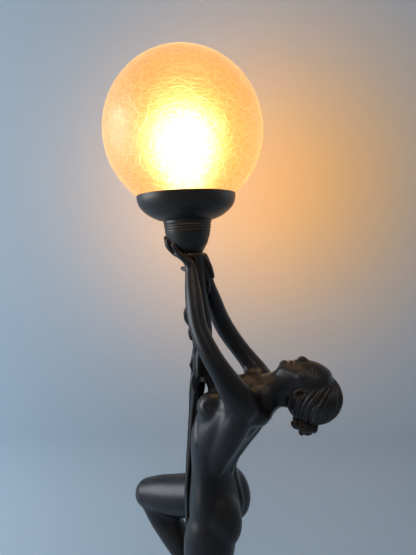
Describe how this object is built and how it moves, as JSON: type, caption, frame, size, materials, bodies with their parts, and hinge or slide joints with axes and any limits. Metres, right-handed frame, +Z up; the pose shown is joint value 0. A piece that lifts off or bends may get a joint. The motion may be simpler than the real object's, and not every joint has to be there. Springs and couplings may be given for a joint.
{
  "type": "figural table lamp",
  "caption": "Table lamp: a leaning figure on a round base holds up a cup and dish with a lift-off glass globe over a screw-in bulb.",
  "frame": {"origin": "centre of the base's underside, straight below the globe", "axes": "+Z up; the figure faces -X and its left side is -Y"},
  "size_m": [0.24, 0.178, 0.708],
  "materials": {
    "bronze_casting": "satin dark bronze patina on a mineral-filled casting",
    "dark_painted_metal": "satin dark bronze lacquer",
    "cast_iron": "rough",
    "steel": "zinc plated",
    "brass": "bright",
    "nickel": "bright",
    "lead_solder": "black glass insulator with a solder tip",
    "felt": "felt",
    "black_rubber": "matte",
    "black_plastic": "moulded",
    "white_ceramic": "glazed",
    "pearl_glass": "pearl",
    "clear_glass": "clear",
    "crackle_glass": "crackled, amber in the light"
  },
  "bodies": {
    "lamp": {"base_plinth": "bronze_casting", "ballast_disc": "cast_iron", "bottom_plate": "steel", "bottom_plate_screws": "steel", "felt_pad": "felt", "cord_grommet": "black_rubber", "lower_washer": "steel", "lower_lock_nut": "steel", "conduit_tube": "steel", "foot_stud": "steel", "foot_nut": "steel", "figure_torso": "bronze_casting", "standing_leg": "bronze_casting", "raised_leg": "bronze_casting", "left_arm": "bronze_casting", "right_arm": "bronze_casting", "head": "bronze_casting", "locating_dowels": "steel", "drape": "bronze_casting", "neck_cup": "dark_painted_metal", "gallery_dish": "dark_painted_metal", "seat_ring": "black_rubber", "upper_washer": "steel", "upper_lock_nut": "steel", "lampholder_cap": "black_plastic", "lampholder_shell": "black_plastic", "lampholder_insert": "white_ceramic", "lampholder_thread": "brass", "terminal_screws": "brass"},
    "contact_leaf": {"centre_contact": "brass"},
    "bulb_tip": {"bulb_contact": "lead_solder"},
    "bulb": {"bulb_envelope": "pearl_glass", "bulb_cap": "nickel", "bulb_stem": "clear_glass"},
    "globe": {"globe": "crackle_glass"}
  },
  "joints": [
    {"name": "globe_lift", "type": "slide", "parent": "lamp", "child": "globe", "axis": [0, 0, 1], "range_m": [0, 0.14]},
    {"name": "bulb_rise", "type": "slide", "parent": "lamp", "child": "bulb_tip", "axis": [0, 0, 1], "range_m": [0, 0.0254]},
    {"name": "bulb_turn", "type": "hinge", "parent": "bulb_tip", "child": "bulb", "pos_m": [0, 0, 0.6], "axis": [0, 0, 1], "range_deg": [0, 2519]},
    {"name": "contact_flex", "type": "hinge", "parent": "lamp", "child": "contact_leaf", "pos_m": [-0.0073, 0, 0.5442], "axis": [0, 1, 0], "range_deg": [0, 4], "stiffness_Nm_per_rad": 0.002}
  ],
  "couplings": [
    {"joint": "bulb_rise", "follows": "bulb_turn", "m_per_rad": 0.0005776}
  ]
}
